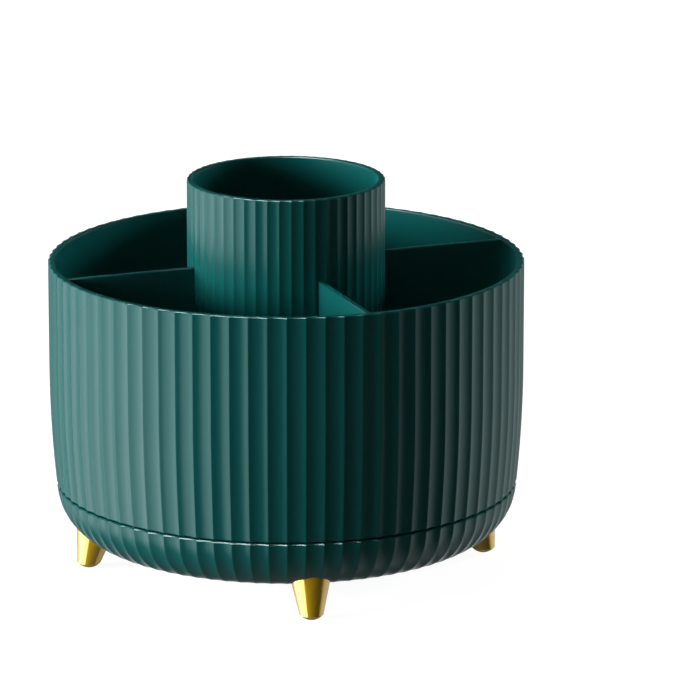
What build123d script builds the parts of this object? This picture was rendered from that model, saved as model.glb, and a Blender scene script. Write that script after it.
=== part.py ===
"""Round make-up organizer: a fluted bowl with four compartments and a brush cup, turning on a footed base.

Frame: millimetres, +Z up. The origin is on the floor, on the turning axis. A foot points along each
of -Y, +X, +Y and -X. The base stands still, the bowl with its cup and dividers turns, and a caged
ring of balls between two races carries it.
"""

import os
from math import asin, cos, degrees, pi, radians, sin, sqrt

from build123d import *

os.makedirs("parts", exist_ok=True)

# ---------------------------------------------------------------- driving dimensions
# Overall form
bowl_radius = 75.0  # over the ridges of the flutes, at the rim
overall_height = 125.0  # floor to the brush cup's rim
rim_height = 99.2  # floor to the bowl's rim
straight_height = 66.0  # the wall is upright above this
belly_radius = 380.0  # long curve of the wall below it
corner_radius = 17.2  # round corner under the belly
corner_height = 27.1  # height of that corner's centre
underside_height = 10.5  # flat underside of the base
seam_height = 27.0  # top edge of the base
seam_gap = 0.5  # open line between the base and the turning bowl
wall = 2.4  # ridge to inner face
rim_bevel = 0.45
seam_bevel = 0.35

# Flutes
bowl_flutes = 80
bowl_flute_depth = 0.46
cup_flutes = 52
cup_flute_depth = 0.26

# Bowl
bowl_floor = 2.2
bowl_floor_fillet = 5.0

# Dividers
divider_count = 4
divider_turn = 13.5  # degrees from the feet's axes, three flutes round
divider_thickness = 1.8
divider_drop = 0.3  # below the rim
divider_clearance = 0.12
tab_length = 10.0
tab_thickness = 1.2
tab_depth = 1.2
tab_clearance = 0.1
tab_radii = (40.5, 60.5)

# Brush cup
cup_radius = 31.2
cup_wall = 2.4
cup_floor = 2.0
cup_floor_height = 39.5  # underside of the cup's raised floor
cup_floor_fillet = 3.0
cup_screw_count = 4
cup_screw_circle = 23.0
cup_boss_radius = 3.4

# Ball bearing
ball_count = 24
ball_radius = 2.5
ball_circle = 45.0
ball_clearance = 0.06
groove_depth = 1.0
race_width = 9.0
race_thickness = 2.5
race_seat_height = 17.0  # underside of the lower race
race_clearance = 0.1
lip_thickness = 1.5
lip_height = 1.6
cage_thickness = 1.6
cage_width = 8.0
cage_pocket_clearance = 0.15

# Pivot
boss_radius = 5.0
boss_top = 34.4
hub_radius = 9.0
hub_bottom = 21.0
hub_top = 33.0
bush_wall = 1.5
bush_clearance = 0.05
bush_flange_radius = 8.6
bush_flange = 1.2
washer_radius = 8.0
washer_thickness = 1.0

# Base stiffening
rib_count = 8
rib_thickness = 1.4
rib_height = 3.4
rib_inner_radius = 4.0

# Feet
foot_count = 4
foot_outer_radius = 67.1  # the foot's upright outer side
foot_tip_radius = 3.8  # where the domed tip starts
foot_spread = 0.235  # growth of the foot's radius for each millimetre of height
foot_top = 17.0
dome_height = 1.7
dome_radius = 4.8
dome_flat_radius = 1.0
spigot_circle = 60.3
spigot_radius = 2.6
spigot_clearance = 0.1
spigot_top = 16.0
socket_wall = 1.9
socket_top = 18.0

# Screws
screw_shank_radius = 1.35
screw_head_radius = 2.7
screw_head_height = 1.7
screw_hole_clearance = 0.25
screw_pilot_clearance = 0.05
screw_tip = 1.2
screw_end_clearance = 0.6
recess_width = 0.7
recess_span = 2.6
recess_depth = 0.9

# ---------------------------------------------------------------- sizes that follow
belly_centre = bowl_radius - belly_radius
corner_centre = belly_centre + sqrt(
    (belly_radius - corner_radius) ** 2 - (straight_height - corner_height) ** 2
)
tangent_share = belly_radius / (belly_radius - corner_radius)
tangent_radius = belly_centre + (corner_centre - belly_centre) * tangent_share
tangent_height = straight_height + (corner_height - straight_height) * tangent_share

bowl_bottom = seam_height + seam_gap
floor_top = bowl_bottom + bowl_floor
inner_radius = bowl_radius - wall
base_floor_top = corner_height - (corner_radius - wall)

ball_height = race_seat_height + race_thickness - groove_depth + ball_radius + ball_clearance
lower_race_top = race_seat_height + race_thickness
upper_race_bottom = 2 * ball_height - lower_race_top
upper_race_top = upper_race_bottom + race_thickness
race_inner = ball_circle - race_width / 2
race_outer = ball_circle + race_width / 2

bush_outer = boss_radius + bush_clearance + bush_wall
pivot_length = boss_top - base_floor_top
quarter_turns = [90.0 * i for i in range(4)]
divider_top = rim_height - divider_drop


# ---------------------------------------------------------------- shared shapes
def ring_point(radius, angle, height=0.0):
    """A point at an angle in degrees from -Y, turning towards +X."""
    return (radius * sin(radians(angle)), -radius * cos(radians(angle)), height)


def outer_radius(height):
    """Ridge radius of the bowl and base at a height."""
    if height >= straight_height:
        return bowl_radius
    if height >= tangent_height:
        return belly_centre + sqrt(belly_radius**2 - (straight_height - height) ** 2)
    return corner_centre + sqrt(corner_radius**2 - (corner_height - height) ** 2)


def fluted_sketch(ridge_radius, depth, flutes, height, turn=0.0):
    """A disc whose edge is a ring of hollow flutes that meet in ridges, with a flute's middle at turn."""
    pitch = 360.0 / flutes
    valley_radius = ridge_radius * cos(radians(pitch / 2)) - depth
    with BuildSketch(Plane.XY.offset(height)) as outline:
        with BuildLine():
            for i in range(flutes):
                middle = turn + i * pitch
                ThreePointArc(
                    ring_point(ridge_radius, middle - pitch / 2)[:2],
                    ring_point(valley_radius, middle)[:2],
                    ring_point(ridge_radius, middle + pitch / 2)[:2],
                )
        make_face()
    return outline.sketch


def bowl_sketch(height, inset=0.0):
    """The bowl's fluted outline at a height."""
    radius = outer_radius(height)
    depth = bowl_flute_depth * radius / bowl_radius
    return fluted_sketch(radius - inset, depth, bowl_flutes, height)


def even_steps(low, high, count):
    """Heights or angles from low to high in equal steps, both ends included."""
    return [low + (high - low) * i / (count - 1) for i in range(count)]


def inner_outline(top, clearance):
    """Draws the bowl's inner wall and floor corner, from a top height down to the floor's flat."""
    wall_radius = inner_radius - clearance
    floor = floor_top + clearance
    arc_radius = belly_radius - wall - clearance
    fillet_radius = bowl_floor_fillet
    centre_height = floor + fillet_radius
    centre_radius = belly_centre + sqrt(
        (arc_radius - fillet_radius) ** 2 - (straight_height - centre_height) ** 2
    )
    share = arc_radius / (arc_radius - fillet_radius)
    meet = (
        belly_centre + (centre_radius - belly_centre) * share,
        straight_height + (centre_height - straight_height) * share,
    )
    upright = Line((wall_radius, top), (wall_radius, straight_height))
    belly = TangentArc(upright @ 1, meet, tangent=(0, -1))
    TangentArc(belly @ 1, (centre_radius, floor), tangent=belly % 1)
    return (wall_radius, top), (centre_radius, floor)


def revolve_profile(points):
    """Turns a closed outline of radius and height points about +Z, in the open builder."""
    with BuildSketch(Plane.XZ) as outline:
        with BuildLine():
            Polyline(*points, close=True)
        make_face()
    revolve(outline.sketch, axis=Axis.Z)


def pan_screw(length):
    """A cross-recess pan-head screw along Z: its head's underside is at zero and its tip points down."""
    with BuildPart(mode=Mode.PRIVATE) as screw:
        with BuildSketch(Plane.XZ):
            with BuildLine():
                Polyline(
                    (0, screw_head_height),
                    (screw_head_radius * 0.7, screw_head_height),
                    (screw_head_radius, screw_head_height * 0.45),
                    (screw_head_radius, 0),
                    (screw_shank_radius, 0),
                    (screw_shank_radius, screw_tip - length),
                    (0, -length),
                    close=True,
                )
            make_face()
        revolve(axis=Axis.Z)
        with BuildSketch(Plane.XY.offset(screw_head_height)):
            Rectangle(recess_span, recess_width)
            Rectangle(recess_width, recess_span)
        extrude(amount=-recess_depth, mode=Mode.SUBTRACT)
    return screw.part


def write(part, name):
    """Labels a finished piece and writes it to its own file."""
    part.label = name
    export_step(part, f"parts/{name}.step")


# ---------------------------------------------------------------- the standing base
corner_low = degrees(asin((corner_height - underside_height) / corner_radius))
corner_high = degrees(asin((corner_height - tangent_height) / corner_radius))
corner_stations = [
    corner_height - corner_radius * sin(radians(a)) for a in even_steps(corner_low, corner_high, 8)
]

with BuildPart() as base_form:
    for height in corner_stations:
        add(bowl_sketch(height))
    loft()
    add(bowl_sketch(tangent_height))
    add(bowl_sketch(seam_height - seam_bevel))
    loft(ruled=True)
    add(bowl_sketch(seam_height - seam_bevel))
    add(bowl_sketch(seam_height, inset=seam_bevel))
    loft(ruled=True)

with BuildPart() as base_dish:
    add(base_form.part)
    # Hollow, with the same round corner inside
    with BuildSketch(Plane.XZ):
        with BuildLine():
            corner = RadiusArc(
                (corner_centre, base_floor_top),
                (corner_centre + corner_radius - wall, corner_height),
                -(corner_radius - wall),
            )
            Polyline(
                corner @ 1,
                (corner_centre + corner_radius - wall, seam_height + wall),
                (0, seam_height + wall),
                (0, base_floor_top),
                corner @ 0,
            )
        make_face()
    revolve(axis=Axis.Z, mode=Mode.SUBTRACT)
    # Seat and lips for the lower race
    revolve_profile(
        [
            (race_inner - race_clearance - lip_thickness, base_floor_top),
            (race_outer + race_clearance + lip_thickness, base_floor_top),
            (race_outer + race_clearance + lip_thickness, race_seat_height + lip_height),
            (race_outer + race_clearance, race_seat_height + lip_height),
            (race_outer + race_clearance, race_seat_height),
            (race_inner - race_clearance, race_seat_height),
            (race_inner - race_clearance, race_seat_height + lip_height),
            (race_inner - race_clearance - lip_thickness, race_seat_height + lip_height),
        ]
    )
    # Pivot boss
    with BuildSketch(Plane.XY.offset(base_floor_top)):
        Circle(boss_radius)
    extrude(amount=pivot_length)
    # Radial ribs from the boss to the race seat
    rib_length = race_inner - lip_thickness - rib_inner_radius
    with BuildSketch(Plane.XY.offset(base_floor_top)):
        with PolarLocations(rib_inner_radius + rib_length / 2, rib_count):
            Rectangle(rib_length, rib_thickness)
    extrude(amount=rib_height)
    # Sockets for the feet's spigots, trimmed to the base's own outline
    with BuildPart(mode=Mode.PRIVATE) as sockets:
        with BuildSketch(Plane.XY.offset(base_floor_top)):
            with PolarLocations(spigot_circle, foot_count):
                Circle(spigot_radius + spigot_clearance + socket_wall)
        extrude(amount=socket_top - base_floor_top)
        add(base_form.part, mode=Mode.INTERSECT)
    add(sockets.part)
    with BuildSketch(Plane.XY.offset(underside_height)):
        with PolarLocations(spigot_circle, foot_count):
            Circle(spigot_radius + spigot_clearance)
    extrude(amount=spigot_top + spigot_clearance - underside_height, mode=Mode.SUBTRACT)
    with BuildSketch(Plane.XY.offset(spigot_top)):
        with PolarLocations(spigot_circle, foot_count):
            Circle(screw_shank_radius + screw_hole_clearance)
    extrude(amount=socket_top - spigot_top, mode=Mode.SUBTRACT)
    # Pilot hole for the pivot screw
    with BuildSketch(Plane.XY.offset(boss_top)):
        Circle(screw_shank_radius + screw_pilot_clearance)
    pivot_screw_length = 14.0
    extrude(amount=-(pivot_screw_length + screw_end_clearance), mode=Mode.SUBTRACT)
write(base_dish.part, "base_dish")

# ---------------------------------------------------------------- feet and their screws
foot_screw_length = 7.0
with BuildPart() as foot_dome:
    with BuildSketch(Plane.XZ):
        with BuildLine():
            cap = RadiusArc((dome_flat_radius, 0), (foot_tip_radius, dome_height), -dome_radius)
            Polyline(cap @ 1, (0, dome_height), (0, 0), cap @ 0)
        make_face()
    revolve(axis=Axis.Z)

for turn, side in zip(quarter_turns, ("front", "right", "back", "left")):
    with BuildPart() as foot:
        for height in (dome_height, foot_top):
            radius = foot_tip_radius + foot_spread * (height - dome_height)
            with BuildSketch(Plane.XY.offset(height)):
                with Locations(ring_point(foot_outer_radius - radius, turn)[:2]):
                    Circle(radius)
        loft(ruled=True)
        with Locations(ring_point(foot_outer_radius - foot_tip_radius, turn)):
            add(foot_dome.part)
        add(base_form.part, mode=Mode.SUBTRACT)
        with BuildSketch(Plane.XY.offset(underside_height - spigot_radius)):
            with Locations(ring_point(spigot_circle, turn)[:2]):
                Circle(spigot_radius)
        extrude(amount=spigot_top - underside_height + spigot_radius)
        with BuildSketch(Plane.XY.offset(spigot_top)):
            with Locations(ring_point(spigot_circle, turn)[:2]):
                Circle(screw_shank_radius + screw_pilot_clearance)
        extrude(
            amount=socket_top - foot_screw_length - screw_end_clearance - spigot_top,
            mode=Mode.SUBTRACT,
        )
    write(foot.part, f"foot_{side}")

with BuildPart() as foot_screws:
    for turn in quarter_turns:
        with Locations(ring_point(spigot_circle, turn, socket_top)):
            add(pan_screw(foot_screw_length))
write(foot_screws.part, "foot_screws")

# ---------------------------------------------------------------- ball bearing
for name, low, high in (
    ("lower_race", race_seat_height, lower_race_top),
    ("upper_race", upper_race_bottom, upper_race_top),
):
    with BuildPart() as race:
        revolve_profile([(race_inner, low), (race_outer, low), (race_outer, high), (race_inner, high)])
        with BuildSketch(Plane.XZ):
            with Locations((ball_circle, ball_height)):
                Circle(ball_radius + ball_clearance)
        revolve(axis=Axis.Z, mode=Mode.SUBTRACT)
    write(race.part, name)

with BuildPart() as ball_cage:
    with BuildSketch(Plane.XY.offset(ball_height - cage_thickness / 2)):
        Circle(ball_circle + cage_width / 2)
        Circle(ball_circle - cage_width / 2, mode=Mode.SUBTRACT)
        with PolarLocations(ball_circle, ball_count):
            Circle(ball_radius + cage_pocket_clearance, mode=Mode.SUBTRACT)
    extrude(amount=cage_thickness)
write(ball_cage.part, "ball_cage")

with BuildPart() as bearing_balls:
    with Locations((0, 0, ball_height)):
        with PolarLocations(ball_circle, ball_count):
            Sphere(ball_radius)
write(bearing_balls.part, "bearing_balls")

# ---------------------------------------------------------------- the turning bowl
with BuildPart() as bowl:
    for height in even_steps(bowl_bottom + seam_bevel, straight_height, 6):
        add(bowl_sketch(height))
    loft()
    add(bowl_sketch(bowl_bottom, inset=seam_bevel))
    add(bowl_sketch(bowl_bottom + seam_bevel))
    loft(ruled=True)
    add(bowl_sketch(straight_height))
    extrude(amount=rim_height - rim_bevel - straight_height)
    add(bowl_sketch(rim_height - rim_bevel))
    add(bowl_sketch(rim_height, inset=rim_bevel))
    loft(ruled=True)
    # Inside
    with BuildSketch(Plane.XZ):
        with BuildLine():
            inner_top, inner_low = inner_outline(rim_height - rim_bevel, 0.0)
            Polyline(
                inner_low,
                (0, floor_top),
                (0, rim_height + rim_bevel),
                (inner_radius + 2 * rim_bevel, rim_height + rim_bevel),
                inner_top,
            )
        make_face()
    revolve(axis=Axis.Z, mode=Mode.SUBTRACT)
    # Seat and lips that hold the upper race, under the floor
    revolve_profile(
        [
            (race_inner - race_clearance - lip_thickness, bowl_bottom),
            (race_outer + race_clearance + lip_thickness, bowl_bottom),
            (race_outer + race_clearance + lip_thickness, upper_race_top - lip_height),
            (race_outer + race_clearance, upper_race_top - lip_height),
            (race_outer + race_clearance, upper_race_top),
            (race_inner - race_clearance, upper_race_top),
            (race_inner - race_clearance, upper_race_top - lip_height),
            (race_inner - race_clearance - lip_thickness, upper_race_top - lip_height),
        ]
    )
    # Hub
    with BuildSketch(Plane.XY.offset(hub_bottom)):
        Circle(hub_radius)
    extrude(amount=hub_top - hub_bottom)
    with BuildSketch(Plane.XY.offset(hub_bottom)):
        Circle(bush_outer)
    extrude(amount=hub_top - hub_bottom, mode=Mode.SUBTRACT)
    # Holes for the cup's screws
    with BuildSketch(Plane.XY.offset(bowl_bottom)):
        with PolarLocations(cup_screw_circle, cup_screw_count):
            Circle(screw_shank_radius + screw_hole_clearance)
    extrude(amount=bowl_floor, mode=Mode.SUBTRACT)
    # Slots for the dividers' tabs
    with BuildSketch(Plane.XY.offset(floor_top)):
        for tab_radius in tab_radii:
            with PolarLocations(tab_radius, divider_count, start_angle=divider_turn):
                Rectangle(tab_length + 2 * tab_clearance, tab_thickness + 2 * tab_clearance)
    extrude(amount=-(tab_depth + tab_clearance), mode=Mode.SUBTRACT)
write(bowl.part, "bowl")

# ---------------------------------------------------------------- dividers
for i, side in enumerate(("front", "right", "back", "left")):
    turn = divider_turn + i * 360.0 / divider_count
    radial_plane = Plane(
        origin=(0, 0, 0),
        x_dir=ring_point(1.0, turn),
        z_dir=ring_point(1.0, turn - 90.0),
    )
    panel_start = cup_radius * cos(pi / cup_flutes) - cup_flute_depth + 2 * divider_clearance
    with BuildPart() as divider:
        with BuildSketch(radial_plane):
            with BuildLine():
                panel_top, panel_low = inner_outline(rim_height, divider_clearance)
                Polyline(
                    panel_low,
                    (panel_start, floor_top + divider_clearance),
                    (panel_start, rim_height),
                    panel_top,
                )
            make_face()
        extrude(amount=divider_thickness / 2, both=True)
        split(bisect_by=Plane.XY.offset(divider_top), keep=Keep.BOTTOM)
        with BuildSketch(radial_plane):
            for tab_radius in tab_radii:
                with Locations((tab_radius, floor_top + divider_clearance - tab_depth / 2)):
                    Rectangle(tab_length, tab_depth)
        extrude(amount=tab_thickness / 2, both=True)
    write(divider.part, f"divider_{side}")

# ---------------------------------------------------------------- brush cup and its screws
cup_screw_length = 9.0
cup_ridge_turn = divider_turn
with BuildPart() as brush_cup:
    add(fluted_sketch(cup_radius, cup_flute_depth, cup_flutes, floor_top, cup_ridge_turn))
    extrude(amount=overall_height - rim_bevel - floor_top)
    for inset, height in ((0.0, overall_height - rim_bevel), (rim_bevel, overall_height)):
        add(fluted_sketch(cup_radius - inset, cup_flute_depth, cup_flutes, height, cup_ridge_turn))
    loft(ruled=True)
    # Inside, above the raised floor
    cup_bore = cup_radius - cup_wall
    cup_inside = cup_floor_height + cup_floor
    with BuildSketch(Plane.XZ):
        with BuildLine():
            Polyline(
                (cup_bore, cup_inside + cup_floor_fillet),
                (cup_bore, overall_height - rim_bevel),
                (cup_bore + 2 * rim_bevel, overall_height + rim_bevel),
                (0, overall_height + rim_bevel),
                (0, cup_inside),
                (cup_bore - cup_floor_fillet, cup_inside),
            )
            RadiusArc(
                (cup_bore - cup_floor_fillet, cup_inside),
                (cup_bore, cup_inside + cup_floor_fillet),
                -cup_floor_fillet,
            )
        make_face()
    revolve(axis=Axis.Z, mode=Mode.SUBTRACT)
    # Hollow foot of the cup, over the hub
    with BuildSketch(Plane.XY.offset(floor_top)):
        Circle(cup_bore)
        with PolarLocations(cup_screw_circle, cup_screw_count):
            Circle(cup_boss_radius, mode=Mode.SUBTRACT)
    extrude(amount=cup_floor_height - floor_top, mode=Mode.SUBTRACT)
    with BuildSketch(Plane.XY.offset(floor_top)):
        with PolarLocations(cup_screw_circle, cup_screw_count):
            Circle(screw_shank_radius + screw_pilot_clearance)
    extrude(amount=cup_screw_length - bowl_floor + screw_end_clearance, mode=Mode.SUBTRACT)
write(brush_cup.part, "brush_cup")

with BuildPart() as cup_screws:
    for turn in quarter_turns:
        with Locations(Location(ring_point(cup_screw_circle, turn, bowl_bottom), (180, 0, 0))):
            add(pan_screw(cup_screw_length))
write(cup_screws.part, "cup_screws")

# ---------------------------------------------------------------- pivot
with BuildPart() as hub_bush:
    bush_bore = boss_radius + bush_clearance
    revolve_profile(
        [
            (bush_bore, hub_bottom),
            (bush_outer, hub_bottom),
            (bush_outer, hub_top),
            (bush_flange_radius, hub_top),
            (bush_flange_radius, hub_top + bush_flange),
            (bush_bore, hub_top + bush_flange),
        ]
    )
write(hub_bush.part, "hub_bush")

with BuildPart() as pivot_washer:
    with BuildSketch(Plane.XY.offset(boss_top)):
        Circle(washer_radius)
        Circle(screw_shank_radius + screw_hole_clearance, mode=Mode.SUBTRACT)
    extrude(amount=washer_thickness)
write(pivot_washer.part, "pivot_washer")

with BuildPart() as pivot_screw:
    with Locations((0, 0, boss_top + washer_thickness)):
        add(pan_screw(pivot_screw_length))
write(pivot_screw.part, "pivot_screw")
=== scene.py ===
"""Round make-up organizer: moulded green plastic, polished gold feet and soft studio light over the frame.

Sizes are in millimetres and degrees until a finished shape is scaled to metres. The studio is in metres.
Angles turn about +Z from -Y towards +X. The front foot points along -Y.
"""

from math import asin, cos, hypot, pi, radians, sin, sqrt

import bmesh
import bpy
from mathutils import Matrix, Vector


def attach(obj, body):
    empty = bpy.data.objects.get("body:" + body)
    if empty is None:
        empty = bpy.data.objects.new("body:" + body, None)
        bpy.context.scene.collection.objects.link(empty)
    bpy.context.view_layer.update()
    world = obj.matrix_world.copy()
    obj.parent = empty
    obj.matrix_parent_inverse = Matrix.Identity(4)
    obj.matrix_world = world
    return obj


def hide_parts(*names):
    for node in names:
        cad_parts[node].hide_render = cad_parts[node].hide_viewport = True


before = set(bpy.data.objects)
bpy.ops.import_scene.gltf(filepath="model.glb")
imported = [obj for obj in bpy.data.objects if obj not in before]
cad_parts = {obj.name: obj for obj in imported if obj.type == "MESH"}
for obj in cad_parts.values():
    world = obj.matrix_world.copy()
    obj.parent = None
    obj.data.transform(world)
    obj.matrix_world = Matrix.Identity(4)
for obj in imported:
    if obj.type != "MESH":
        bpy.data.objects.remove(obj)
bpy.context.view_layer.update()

MM = 0.001

# ---------------------------------------------------------------- sizes shared with the solids
BOWL_RADIUS = 75.0
OVERALL_HEIGHT = 125.0
RIM_HEIGHT = 99.2
STRAIGHT_HEIGHT = 66.0
BELLY_RADIUS = 380.0
CORNER_RADIUS = 17.2
CORNER_HEIGHT = 27.1
UNDERSIDE_HEIGHT = 10.5
SEAM_HEIGHT = 27.0
SEAM_GAP = 0.5
SEAM_BEVEL = 0.35
WALL = 2.4
BOWL_FLUTES = 80
BOWL_FLUTE_DEPTH = 0.46
BOWL_FLOOR = 2.2
BOWL_FLOOR_FILLET = 5.0

CUP_RADIUS = 31.2
CUP_WALL = 2.4
CUP_FLUTES = 52
CUP_FLUTE_DEPTH = 0.26
CUP_FLOOR_TOP = 41.5
CUP_FLOOR_UNDERSIDE = 39.5
CUP_FLOOR_FILLET = 3.0

DIVIDER_TURN = 13.5
DIVIDER_THICKNESS = 1.8
DIVIDER_DROP = 0.3
DIVIDER_CLEARANCE = 0.12

RACE_SEAT_HEIGHT = 17.0
RACE_INNER = 40.4
RACE_OUTER = 49.6
LIP = 1.5
LIP_HEIGHT = 1.6
UPPER_RACE_TOP = 25.12
BOSS_RADIUS = 5.0
BOSS_TOP = 34.4
HUB_RADIUS = 9.0
HUB_BORE = 6.6
HUB_BOTTOM = 21.0
HUB_TOP = 33.0

# ---------------------------------------------------------------- how the mouldings are drawn
# Rounded edges that the solids have sharp or bevelled
RIM_ROUND = 0.5
RIDGE_ROUND = 0.1
DIVIDER_ROUND = 0.35

# Rings of the mesh on plain stretches: above the bowl's lower edge, below a rim, inside the cup, where the
# flutes have faded out of the underside, and where the underside's middle is closed
FIRST_WALL_RING = 2.0
RIM_DEPTH = 4.0
CUP_MIDDLE_HEIGHT = 80.0
UNDERSIDE_ROUND_RADIUS = 40.0
UNDERSIDE_MIDDLE_RADIUS = 8.0

# How many steps or points a curved stretch has
FLUTE_STEPS = 8
RIDGE_STEPS = 2
DIVIDER_ROUND_STEPS = 3
RIM_POINTS = 5
BEVEL_POINTS = 2
BOWL_WALL_POINTS = 12
INNER_WALL_POINTS = 8
BOWL_FILLET_POINTS = 7
CUP_FILLET_POINTS = 6
BASE_CORNER_POINTS = 14
BASE_INNER_CORNER_POINTS = 9

# A ring's flutes stay as they are at a station, or fade out to a true circle
KEEP = 0.0
ROUND = 1.0

# A fold in degrees that shows as an edge, and one that a divider's rounding takes
EDGE_FOLD = 32.0
DIVIDER_FOLD = 60.0

# An edge of a ridge climbs, lies on the ridge's line and is folded: the limits are the level part of its
# direction, its distance from that line as a share of a flute, and its fold in radians
RIDGE_LEVEL_LIMIT = 0.98
RIDGE_LINE_LIMIT = 0.02
RIDGE_FOLD_LIMIT = 0.3

# Points of a ring that lie closer than this are one
MERGE_DISTANCE = 0.01

# Sizes that follow
BELLY_CENTRE = BOWL_RADIUS - BELLY_RADIUS
CORNER_CENTRE = BELLY_CENTRE + sqrt(
    (BELLY_RADIUS - CORNER_RADIUS) ** 2 - (STRAIGHT_HEIGHT - CORNER_HEIGHT) ** 2
)
TANGENT_HEIGHT = STRAIGHT_HEIGHT + (CORNER_HEIGHT - STRAIGHT_HEIGHT) * BELLY_RADIUS / (
    BELLY_RADIUS - CORNER_RADIUS
)
BOWL_BOTTOM = SEAM_HEIGHT + SEAM_GAP
FLOOR_TOP = BOWL_BOTTOM + BOWL_FLOOR
BASE_FLOOR_TOP = CORNER_HEIGHT - (CORNER_RADIUS - WALL)


def outer_radius(height):
    """Ridge radius of the bowl and base at a height."""
    if height >= STRAIGHT_HEIGHT:
        return BOWL_RADIUS
    if height >= TANGENT_HEIGHT:
        return BELLY_CENTRE + sqrt(BELLY_RADIUS**2 - (STRAIGHT_HEIGHT - height) ** 2)
    return CORNER_CENTRE + sqrt(CORNER_RADIUS**2 - (CORNER_HEIGHT - height) ** 2)


def round_point(radius, angle, height=0.0):
    """A point at an angle in degrees from -Y, turning towards +X."""
    return Vector((radius * sin(radians(angle)), -radius * cos(radians(angle)), height))


def even_steps(low, high, count):
    """Numbers from low to high in equal steps, both ends included."""
    return [low + (high - low) * i / (count - 1) for i in range(count)]


def quarter_round(size, points):
    """Inset and drop of the points of a rounded edge, from its foot to its crown. Two make a bevel."""
    return [
        (size * (1 - cos(radians(a))), size * (1 - sin(radians(a)))) for a in even_steps(0, 90, points)
    ]


# ---------------------------------------------------------------- making the fluted mouldings
def flute_ring(mesh, ridge_radius, depth, flutes, middle):
    """A closed ring of hollow flutes at height zero, with a flute's middle at an angle."""
    half = pi / flutes
    half_chord = ridge_radius * sin(half)
    hollow = (half_chord**2 + depth**2) / (2 * depth)
    centre = round_point(ridge_radius * cos(half) - depth + hollow, middle)
    start = mesh.verts.new(round_point(ridge_radius, middle - 180.0 / flutes))
    bmesh.ops.spin(
        mesh,
        geom=[start],
        cent=centre,
        axis=(0, 0, 1),
        angle=-2 * asin(half_chord / hollow),
        steps=FLUTE_STEPS,
    )
    bmesh.ops.spin(
        mesh,
        geom=mesh.verts[:] + mesh.edges[:],
        cent=(0, 0, 0),
        axis=(0, 0, 1),
        angle=2 * pi * (flutes - 1) / flutes,
        steps=flutes - 1,
        use_duplicate=True,
    )
    bmesh.ops.remove_doubles(mesh, verts=mesh.verts, dist=MERGE_DISTANCE)
    return mesh.edges[:]


def bowl_ring(mesh, radius, height):
    """The ring of flutes that the bowl and the base share, drawn in to a radius at a height."""
    ring = flute_ring(mesh, BOWL_RADIUS, BOWL_FLUTE_DEPTH, BOWL_FLUTES, 0.0)
    growth = radius / BOWL_RADIUS
    for point in mesh.verts:
        point.co = (point.co.x * growth, point.co.y * growth, height)
    return ring


def carry_ring(mesh, ring, radius, stations):
    """Extrudes a ring through stations of radius and height, each with how far its flutes fade out."""
    for new_radius, height, fade in stations:
        grown = bmesh.ops.extrude_edge_only(mesh, edges=ring)["geom"]
        ring = [part for part in grown if isinstance(part, bmesh.types.BMEdge)]
        for point in {point for edge in ring for point in edge.verts}:
            reach = hypot(point.co.x, point.co.y) / radius
            growth = new_radius / radius * (reach + (1 - reach) * fade) / reach
            point.co = (point.co.x * growth, point.co.y * growth, height)
        radius = new_radius
    return ring


def close_middle(mesh, ring):
    """Closes a level ring with a fan of faces that meet on the turning axis."""
    grown = bmesh.ops.extrude_edge_only(mesh, edges=ring)["geom"]
    points = [part for part in grown if isinstance(part, bmesh.types.BMVert)]
    bmesh.ops.pointmerge(mesh, verts=points, merge_co=(0, 0, points[0].co.z))


def soften_ridges(mesh, flutes, middle):
    """Rounds the long edges where the flutes meet, as a mould leaves them."""
    pitch = 2 * pi / flutes
    start = round_point(1, middle).xy
    ridges = []
    for edge in mesh.edges:
        low, high = edge.verts
        along = (high.co - low.co).normalized()
        turn = ((low.co + high.co) / 2).xy.angle_signed(start) / pitch
        climbs = hypot(along.x, along.y) < RIDGE_LEVEL_LIMIT
        on_line = abs(turn % 1 - 0.5) < RIDGE_LINE_LIMIT
        if climbs and on_line and edge.calc_face_angle(0) > RIDGE_FOLD_LIMIT:
            ridges.append(edge)
    bmesh.ops.bevel(
        mesh,
        geom=ridges,
        offset=RIDGE_ROUND,
        segments=RIDGE_STEPS,
        profile=0.5,
        affect="EDGES",
        material=-1,
        clamp_overlap=True,
    )


def finish_mesh(mesh, name):
    """Turns a finished bmesh in millimetres into a smooth-shaded object in metres."""
    bmesh.ops.scale(mesh, vec=(MM, MM, MM), verts=mesh.verts)
    bmesh.ops.recalc_face_normals(mesh, faces=mesh.faces)
    for face in mesh.faces:
        face.smooth = True
    for edge in mesh.edges:
        if edge.calc_face_angle(0) > radians(EDGE_FOLD):
            edge.smooth = False
    data = bpy.data.meshes.new(name)
    mesh.to_mesh(data)
    mesh.free()
    piece = bpy.data.objects.new(name, data)
    bpy.context.scene.collection.objects.link(piece)
    return piece


# ---------------------------------------------------------------- outlines of radius and height
def same_section(points):
    """Stations at which the ring stays as fluted or as round as it is."""
    return [(radius, height, KEEP) for radius, height in points]


def rim_stations(radius, bore, top):
    """Stations over a rounded rim, from the fluted outside to the round inside."""
    edge = quarter_round(RIM_ROUND, RIM_POINTS)
    outside = [(radius - inset, top - drop, KEEP) for inset, drop in edge]
    return outside + [(bore + inset, top - drop, ROUND) for inset, drop in reversed(edge)]


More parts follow.
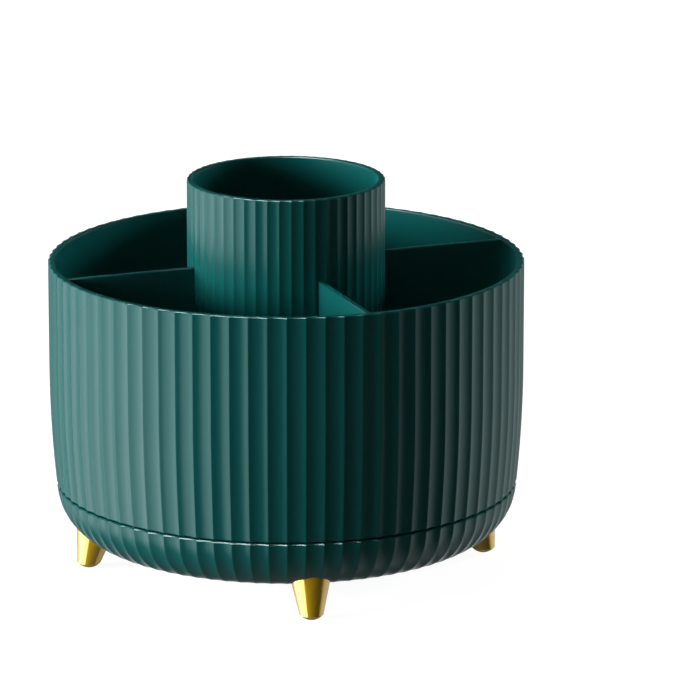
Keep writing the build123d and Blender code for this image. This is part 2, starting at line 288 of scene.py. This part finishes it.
def inner_wall(top):
    """The bowl's round inner wall, from a height down to where the floor is level."""
    fillet = BOWL_FLOOR_FILLET
    inner_belly = BELLY_RADIUS - WALL
    centre_height = FLOOR_TOP + fillet
    centre_radius = BELLY_CENTRE + sqrt(
        (inner_belly - fillet) ** 2 - (STRAIGHT_HEIGHT - centre_height) ** 2
    )
    meet = STRAIGHT_HEIGHT + (centre_height - STRAIGHT_HEIGHT) * inner_belly / (inner_belly - fillet)
    points = [(BOWL_RADIUS - WALL, top)]
    for height in even_steps(STRAIGHT_HEIGHT, meet, INNER_WALL_POINTS):
        points.append((BELLY_CENTRE + sqrt(inner_belly**2 - (STRAIGHT_HEIGHT - height) ** 2), height))
    start = asin((centre_height - meet) / fillet)
    for angle in even_steps(start, pi / 2, BOWL_FILLET_POINTS)[1:]:
        points.append((centre_radius + fillet * cos(angle), centre_height - fillet * sin(angle)))
    return points


def round_corner(radius, start, end, count):
    """The base's round corner at a radius, between two angles in radians below level."""
    return [
        (CORNER_CENTRE + radius * cos(angle), CORNER_HEIGHT - radius * sin(angle))
        for angle in even_steps(start, end, count)
    ]


def race_seat(seat, lip_edge, floor):
    """A bearing race's seat with a lip each side, from the inner lip's foot to the outer lip's foot."""
    return [
        (RACE_INNER - LIP, floor),
        (RACE_INNER - LIP, lip_edge),
        (RACE_INNER, lip_edge),
        (RACE_INNER, seat),
        (RACE_OUTER, seat),
        (RACE_OUTER, lip_edge),
        (RACE_OUTER + LIP, lip_edge),
        (RACE_OUTER + LIP, floor),
    ]


# ---------------------------------------------------------------- the mouldings
def mould_bowl():
    """The turning bowl: fluted outside, round inside, with its hub and race seat underneath."""
    mesh = bmesh.new()
    seam = [
        (outer_radius(BOWL_BOTTOM + drop) - inset, BOWL_BOTTOM + drop)
        for inset, drop in reversed(quarter_round(SEAM_BEVEL, BEVEL_POINTS))
    ]
    wall = [
        (outer_radius(height), height)
        for height in even_steps(BOWL_BOTTOM + FIRST_WALL_RING, STRAIGHT_HEIGHT, BOWL_WALL_POINTS)
    ]
    hub = [
        (HUB_RADIUS, FLOOR_TOP),
        (HUB_RADIUS, HUB_TOP),
        (HUB_BORE, HUB_TOP),
        (HUB_BORE, HUB_BOTTOM),
        (HUB_RADIUS, HUB_BOTTOM),
        (HUB_RADIUS, BOWL_BOTTOM),
    ]
    race = race_seat(UPPER_RACE_TOP, UPPER_RACE_TOP - LIP_HEIGHT, BOWL_BOTTOM)
    stations = same_section(seam[1:] + wall)
    stations += rim_stations(BOWL_RADIUS, BOWL_RADIUS - WALL, RIM_HEIGHT)
    stations += same_section(inner_wall(RIM_HEIGHT - RIM_DEPTH) + hub + race)
    first = bowl_ring(mesh, *seam[0])
    last = carry_ring(mesh, first, seam[0][0], stations)
    bmesh.ops.bridge_loops(mesh, edges=first + last)
    soften_ridges(mesh, BOWL_FLUTES, 0.0)
    return finish_mesh(mesh, "bowl_moulding")


def mould_base():
    """The standing base: the fluted ring under the seam, its round corner and flat underside."""
    mesh = bmesh.new()
    low = asin((CORNER_HEIGHT - UNDERSIDE_HEIGHT) / CORNER_RADIUS)
    high = asin((CORNER_HEIGHT - TANGENT_HEIGHT) / CORNER_RADIUS)
    seam = [
        (outer_radius(SEAM_HEIGHT) - inset, SEAM_HEIGHT - drop)
        for inset, drop in reversed(quarter_round(SEAM_BEVEL, BEVEL_POINTS))
    ]
    outside = same_section(seam[1:] + round_corner(CORNER_RADIUS, high, low, BASE_CORNER_POINTS))
    outside += [
        (UNDERSIDE_ROUND_RADIUS, UNDERSIDE_HEIGHT, ROUND),
        (UNDERSIDE_MIDDLE_RADIUS, UNDERSIDE_HEIGHT, KEEP),
    ]
    corner = round_corner(CORNER_RADIUS - WALL, 0.0, pi / 2, BASE_INNER_CORNER_POINTS)
    race = race_seat(RACE_SEAT_HEIGHT, RACE_SEAT_HEIGHT + LIP_HEIGHT, BASE_FLOOR_TOP)
    boss = [(BOSS_RADIUS, BASE_FLOOR_TOP), (BOSS_RADIUS, BOSS_TOP)]
    inside = [(corner[0][0], SEAM_HEIGHT, ROUND)] + same_section(corner + race[::-1] + boss)
    first = bowl_ring(mesh, *seam[0])
    close_middle(mesh, carry_ring(mesh, first, seam[0][0], outside))
    close_middle(mesh, carry_ring(mesh, first, seam[0][0], inside))
    soften_ridges(mesh, BOWL_FLUTES, 0.0)
    return finish_mesh(mesh, "base_moulding")


def mould_cup():
    """The tall brush cup: fluted outside, round inside, with a raised floor over the hub."""
    mesh = bmesh.new()
    bore = CUP_RADIUS - CUP_WALL
    wall = [(bore, OVERALL_HEIGHT - RIM_DEPTH), (bore, CUP_MIDDLE_HEIGHT)]
    fillet = [
        (bore - inset, CUP_FLOOR_TOP + drop)
        for inset, drop in quarter_round(CUP_FLOOR_FILLET, CUP_FILLET_POINTS)
    ]
    above = rim_stations(CUP_RADIUS, bore, OVERALL_HEIGHT) + same_section(wall + fillet)
    under = [(bore, FLOOR_TOP, ROUND), (bore, CUP_FLOOR_UNDERSIDE, KEEP)]
    first = flute_ring(mesh, CUP_RADIUS, CUP_FLUTE_DEPTH, CUP_FLUTES, DIVIDER_TURN)
    bmesh.ops.translate(mesh, verts=mesh.verts, vec=(0, 0, FLOOR_TOP))
    close_middle(mesh, carry_ring(mesh, first, CUP_RADIUS, above))
    close_middle(mesh, carry_ring(mesh, first, CUP_RADIUS, under))
    soften_ridges(mesh, CUP_FLUTES, DIVIDER_TURN)
    return finish_mesh(mesh, "brush_cup_moulding")


def mould_divider(name, turn):
    """One straight wall from the cup to the bowl, drawn along +X, which is at 90 degrees, and turned."""
    mesh = bmesh.new()
    top = RIM_HEIGHT - DIVIDER_DROP
    near = CUP_RADIUS * cos(pi / CUP_FLUTES) - CUP_FLUTE_DEPTH + 2 * DIVIDER_CLEARANCE
    rim = [(near, FLOOR_TOP + DIVIDER_CLEARANCE), (near, top)]
    for radius, height in inner_wall(top):
        rim.append((radius - DIVIDER_CLEARANCE, height + (DIVIDER_CLEARANCE if height < top else 0.0)))
    corners = [mesh.verts.new((radius, -DIVIDER_THICKNESS / 2, height)) for radius, height in rim]
    side = mesh.faces.new(corners)
    grown = bmesh.ops.extrude_face_region(mesh, geom=[side])["geom"]
    moved = [part for part in grown if isinstance(part, bmesh.types.BMVert)]
    bmesh.ops.translate(mesh, verts=moved, vec=(0, DIVIDER_THICKNESS, 0))
    bmesh.ops.bevel(
        mesh,
        geom=[edge for edge in mesh.edges if edge.calc_face_angle(0) > radians(DIVIDER_FOLD)],
        offset=DIVIDER_ROUND,
        segments=DIVIDER_ROUND_STEPS,
        profile=0.5,
        affect="EDGES",
        material=-1,
    )
    bmesh.ops.rotate(
        mesh, verts=mesh.verts, cent=(0, 0, 0), matrix=Matrix.Rotation(radians(turn - 90.0), 3, "Z")
    )
    return finish_mesh(mesh, name)


# ---------------------------------------------------------------- finishes
# The tones of each finish: places in a noise pattern with their colours
GREEN_TONES = ((0.0, (0.0032, 0.069, 0.066)), (1.0, (0.0038, 0.077, 0.074)))
GOLD_TONES = ((0.3, (0.82, 0.50, 0.012)), (0.7, (0.87, 0.535, 0.014)))
BEARING_TONES = ((0.3, (0.70, 0.70, 0.67)), (0.7, (0.76, 0.76, 0.73)))
STEEL_TONES = ((0.3, (0.55, 0.56, 0.58)), (0.7, (0.63, 0.64, 0.66)))


def start_finish(name):
    """A node material with a principled shader, ready for its own nodes."""
    finish = bpy.data.materials.new(name)
    finish.use_nodes = True
    nodes, links = finish.node_tree.nodes, finish.node_tree.links
    return finish, nodes, links, nodes["Principled BSDF"]


def add_noise(nodes, links, scale, detail):
    """A noise pattern on object coordinates, with its scale per metre."""
    place = nodes.new("ShaderNodeTexCoord")
    noise = nodes.new("ShaderNodeTexNoise")
    noise.inputs["Scale"].default_value = scale
    noise.inputs["Detail"].default_value = detail
    links.new(place.outputs["Object"], noise.inputs["Vector"])
    return noise.outputs["Fac"]


def map_range(nodes, links, source, span, result, kind="LINEAR"):
    """Maps a span of a value to the span of a result, and holds the result level past its ends."""
    spread = nodes.new("ShaderNodeMapRange")
    spread.interpolation_type = kind
    spread.inputs["From Min"].default_value, spread.inputs["From Max"].default_value = span
    spread.inputs["To Min"].default_value, spread.inputs["To Max"].default_value = result
    links.new(source, spread.inputs["Value"])
    return spread.outputs["Result"]


def add_tones(nodes, links, shader, pattern, tones):
    """Colours a finish between its tones, by a pattern."""
    ramp = nodes.new("ShaderNodeValToRGB")
    for element, (position, colour) in zip(ramp.color_ramp.elements, tones):
        element.position = position
        element.color = (*colour, 1.0)
    links.new(pattern, ramp.inputs["Fac"])
    links.new(ramp.outputs["Color"], shader.inputs["Base Color"])


def add_dullness(nodes, links, shader, pattern, low, high):
    """Varies a finish's roughness from low to high, by a pattern."""
    dullness = map_range(nodes, links, pattern, (0.0, 1.0), (low, high))
    links.new(dullness, shader.inputs["Roughness"])


def add_grain(nodes, links, shader, pattern, strength, distance):
    """A fine surface relief from a pattern."""
    bump = nodes.new("ShaderNodeBump")
    bump.inputs["Strength"].default_value = strength
    bump.inputs["Distance"].default_value = distance
    links.new(pattern, bump.inputs["Height"])
    links.new(bump.outputs["Normal"], shader.inputs["Normal"])


def green_plastic_finish():
    """Deep green moulded plastic with a satin haze and the faint clouding of a moulding."""
    finish, nodes, links, shader = start_finish("moulded_green_plastic")
    clouding = add_noise(nodes, links, scale=22.0, detail=1.0)
    add_tones(nodes, links, shader, clouding, GREEN_TONES)
    wear = add_noise(nodes, links, scale=60.0, detail=1.5)
    add_dullness(nodes, links, shader, wear, low=0.27, high=0.3)
    shader.inputs["IOR"].default_value = 1.33
    grain = add_noise(nodes, links, scale=1400.0, detail=2.0)
    add_grain(nodes, links, shader, grain, strength=0.1, distance=0.00002)
    return finish


def gold_finish():
    """Gold plate under a clear polish, with a faint polishing haze."""
    finish, nodes, links, shader = start_finish("polished_gold_plate")
    tone = add_noise(nodes, links, scale=60.0, detail=2.0)
    add_tones(nodes, links, shader, tone, GOLD_TONES)
    shader.inputs["Metallic"].default_value = 0.45
    shader.inputs["Coat Weight"].default_value = 1.0
    shader.inputs["Coat Roughness"].default_value = 0.06
    shader.inputs["Coat IOR"].default_value = 1.8
    haze = add_noise(nodes, links, scale=240.0, detail=4.0)
    add_dullness(nodes, links, shader, haze, low=0.07, high=0.12)
    return finish


def bearing_plastic_finish():
    """Plain white bearing plastic, faintly mottled."""
    finish, nodes, links, shader = start_finish("white_bearing_plastic")
    mottle = add_noise(nodes, links, scale=120.0, detail=3.0)
    add_tones(nodes, links, shader, mottle, BEARING_TONES)
    add_dullness(nodes, links, shader, mottle, low=0.42, high=0.5)
    return finish


def steel_finish():
    """Bright steel with fine marks."""
    finish, nodes, links, shader = start_finish("bright_steel")
    marks = add_noise(nodes, links, scale=700.0, detail=2.0)
    add_tones(nodes, links, shader, marks, STEEL_TONES)
    shader.inputs["Metallic"].default_value = 1.0
    add_dullness(nodes, links, shader, marks, low=0.2, high=0.3)
    return finish


def wear_finish(piece, finish):
    """Gives a piece one finish all over."""
    piece.data.materials.clear()
    piece.data.materials.append(finish)


green_plastic = green_plastic_finish()
gold_plate = gold_finish()
bearing_plastic = bearing_plastic_finish()
bright_steel = steel_finish()

for node, finish in (
    ("foot_front", gold_plate),
    ("foot_right", gold_plate),
    ("foot_back", gold_plate),
    ("foot_left", gold_plate),
    ("foot_screws", bright_steel),
    ("cup_screws", bright_steel),
    ("pivot_screw", bright_steel),
    ("pivot_washer", bright_steel),
    ("bearing_balls", bright_steel),
    ("lower_race", bearing_plastic),
    ("upper_race", bearing_plastic),
    ("ball_cage", bearing_plastic),
    ("hub_bush", bearing_plastic),
):
    wear_finish(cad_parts[node], finish)

# ---------------------------------------------------------------- the green mouldings
mouldings = [
    (mould_bowl(), "carousel", "bowl"),
    (mould_base(), "base", "base_dish"),
    (mould_cup(), "carousel", "brush_cup"),
]
for i, side in enumerate(("front", "right", "back", "left")):
    divider = mould_divider(f"divider_{side}_panel", DIVIDER_TURN + 90.0 * i)
    mouldings.append((divider, "carousel", f"divider_{side}"))
for piece, body, node in mouldings:
    wear_finish(piece, green_plastic)
    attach(piece, body)
    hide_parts(node)

# ---------------------------------------------------------------- studio, in metres
FLOOR_HALF_WIDTH = 6.0
FLOOR_GREY = 0.25
FLOOR_ROUGHNESS = 0.9
FLOOR_SHEEN = 0.1
FLOOR_WHITE = 0.93
WHITE = (1.0, 1.0, 1.0, 1.0)

# What gloss sees. A panel has its angle round from the camera, its rise, the cosines of its outer edge
# and of its full part, and its strength, and so have the top lamp and the low card. The two fades go by
# height, from -1 straight down to 1 straight up: the panels' foot, and the floor's glow with its strength.
STUDIO_PANELS = (
    (-75, -8, 0.707, 0.848, 3.4),
    (-104, -8, 0.64, 0.93, 0.9),
    (114, -8, 0.669, 0.978, 0.75),
    (180, -28, 0.85, 0.97, 0.9),
)
STUDIO_DARK = 0.03
PANEL_FOOT = (-0.67, -0.48)
FLOOR_GLOW = (-0.5, -1.0, 0.25)
TOP_LAMP = (-59, 69, 0.891, 0.99, 44.0)
LOW_CARD = (105, -48, 0.89, 0.96, 0.4)

# What matt surfaces get from all round
STUDIO_FILL = 0.095

# A lamp's name, its angle round from the camera with its distance and height, its size and its power
SOFTBOXES = (
    ("left_softbox", (-75, 1.28, 0.3), (1.0, 0.3), 31.7),
    ("right_softbox", (120, 1.45, 0.36), (0.6, 0.3), 15.2),
)
LAMP_AIM = (0.0, 0.0, 0.06)

# The camera's angles, distance, reach and sensor, the height it looks at, the picture's size in pixels,
# its pixels per metre at the turning axis, and the pixel where that height on the axis lies
CAMERA_TURN = -7.38
CAMERA_RISE = 14.98
CAMERA_DISTANCE = 1.8
CAMERA_REACH = 20.0
SENSOR_WIDTH = 36.0
LOOK_HEIGHT = 0.0625
IMAGE_SIZE = 679.0
SCALE = 3160.0
AIM_PIXEL = (286.5, 370.1)


def camera_side(angle, distance, height):
    """A place at an angle round from the camera, positive to its right."""
    return round_point(distance, CAMERA_TURN + angle, height)


def lay_floor():
    """A wide pale floor that the camera sees as plain white, with the object's shadow on it."""
    mesh = bmesh.new()
    bmesh.ops.create_grid(mesh, x_segments=1, y_segments=1, size=FLOOR_HALF_WIDTH)
    data = bpy.data.meshes.new("studio_floor")
    mesh.to_mesh(data)
    mesh.free()
    floor = bpy.data.objects.new("studio_floor", data)
    bpy.context.scene.collection.objects.link(floor)
    finish, nodes, links, shader = start_finish("studio_floor")
    shader.inputs["Base Color"].default_value = (FLOOR_GREY, FLOOR_GREY, FLOOR_GREY, 1.0)
    shader.inputs["Roughness"].default_value = FLOOR_ROUGHNESS
    shader.inputs["Specular IOR Level"].default_value = FLOOR_SHEEN
    shader.inputs["Emission Color"].default_value = WHITE
    path = nodes.new("ShaderNodeLightPath")
    white = nodes.new("ShaderNodeMath")
    white.operation = "MULTIPLY"
    white.inputs[1].default_value = FLOOR_WHITE
    links.new(path.outputs["Is Camera Ray"], white.inputs[0])
    links.new(white.outputs["Value"], shader.inputs["Emission Strength"])
    wear_finish(floor, finish)
    floor.visible_glossy = False


def fill_world():
    """White behind the object for the camera, bright panels at the sides for gloss, a dim even fill."""
    world = bpy.data.worlds.new("studio_world")
    bpy.context.scene.world = world
    world.use_nodes = True
    nodes, links = world.node_tree.nodes, world.node_tree.links
    direction = nodes.new("ShaderNodeTexCoord")
    path = nodes.new("ShaderNodeLightPath")

    def panel(angle, rise, edge, full, strength):
        """Brightness of a soft panel round a direction, from its outer edge to where it is full."""
        facing = nodes.new("ShaderNodeVectorMath")
        facing.operation = "DOT_PRODUCT"
        facing.inputs[1].default_value = camera_side(angle, cos(radians(rise)), sin(radians(rise)))
        links.new(direction.outputs["Generated"], facing.inputs[0])
        return map_range(
            nodes, links, facing.outputs["Value"], (edge, full), (0.0, strength), "SMOOTHSTEP"
        )

    def height_fade(low, high, strength):
        """Brightness that changes with the height of a direction's arrow tip, from none to full."""
        level = nodes.new("ShaderNodeSeparateXYZ")
        links.new(direction.outputs["Generated"], level.inputs["Vector"])
        return map_range(nodes, links, level.outputs["Z"], (low, high), (0.0, strength))

    def combine(kind, first, second):
        """Joins two brightnesses, each a number or another node's output."""
        join = nodes.new("ShaderNodeMath")
        join.operation = kind
        for socket, value in zip(join.inputs, (first, second)):
            if isinstance(value, (int, float)):
                socket.default_value = value
            else:
                links.new(value, socket)
        return join.outputs["Value"]

    sides = STUDIO_DARK
    for values in STUDIO_PANELS:
        sides = combine("ADD", panel(*values), sides)
    around = combine("MULTIPLY", sides, height_fade(*PANEL_FOOT, 1.0))
    for glow in (height_fade(*FLOOR_GLOW), panel(*TOP_LAMP), panel(*LOW_CARD)):
        around = combine("ADD", around, glow)
    gloss = combine("MULTIPLY", around, path.outputs["Is Glossy Ray"])
    fill = combine("MULTIPLY", path.outputs["Is Diffuse Ray"], STUDIO_FILL)
    seen = combine("ADD", path.outputs["Is Camera Ray"], path.outputs["Is Transmission Ray"])
    total = combine("ADD", combine("ADD", gloss, fill), seen)
    nodes["Background"].inputs["Color"].default_value = WHITE
    links.new(total, nodes["Background"].inputs["Strength"])


def hang_lamp(name, place, size, power):
    """A soft rectangular lamp at a place, facing the object, that gloss doesn't see."""
    light = bpy.data.lights.new(name, "AREA")
    light.shape = "RECTANGLE"
    light.size, light.size_y = size
    light.energy = power
    lamp = bpy.data.objects.new(name, light)
    bpy.context.scene.collection.objects.link(lamp)
    lamp.location = place
    lamp.rotation_euler = (Vector(LAMP_AIM) - place).to_track_quat("-Z", "Y").to_euler()
    lamp.visible_glossy = False


def place_camera():
    """The camera at the photograph's angle and scale, aimed so that the object sits as it does there."""
    data = bpy.data.cameras.new("camera")
    camera = bpy.data.objects.new("camera", data)
    bpy.context.scene.collection.objects.link(camera)
    data.sensor_width = SENSOR_WIDTH
    data.lens = SCALE * CAMERA_DISTANCE / IMAGE_SIZE * SENSOR_WIDTH
    rise, turn = radians(CAMERA_RISE), radians(CAMERA_TURN)
    away = Vector((sin(turn) * cos(rise), -cos(turn) * cos(rise), sin(rise)))
    right = Vector((cos(turn), sin(turn), 0.0))
    up = away.cross(right)
    shift = right * (IMAGE_SIZE / 2 - AIM_PIXEL[0]) / SCALE
    shift += up * (AIM_PIXEL[1] - IMAGE_SIZE / 2) / SCALE
    camera.location = Vector((0, 0, LOOK_HEIGHT)) + shift + away * CAMERA_DISTANCE
    camera.rotation_euler = Matrix((right, up, away)).transposed().to_euler()
    data.clip_end = CAMERA_REACH
    bpy.context.scene.camera = camera


lay_floor()
fill_world()
for name, stand, size, power in SOFTBOXES:
    hang_lamp(name, camera_side(*stand), size, power)
place_camera()

scene = bpy.context.scene
scene.view_settings.view_transform = "Standard"
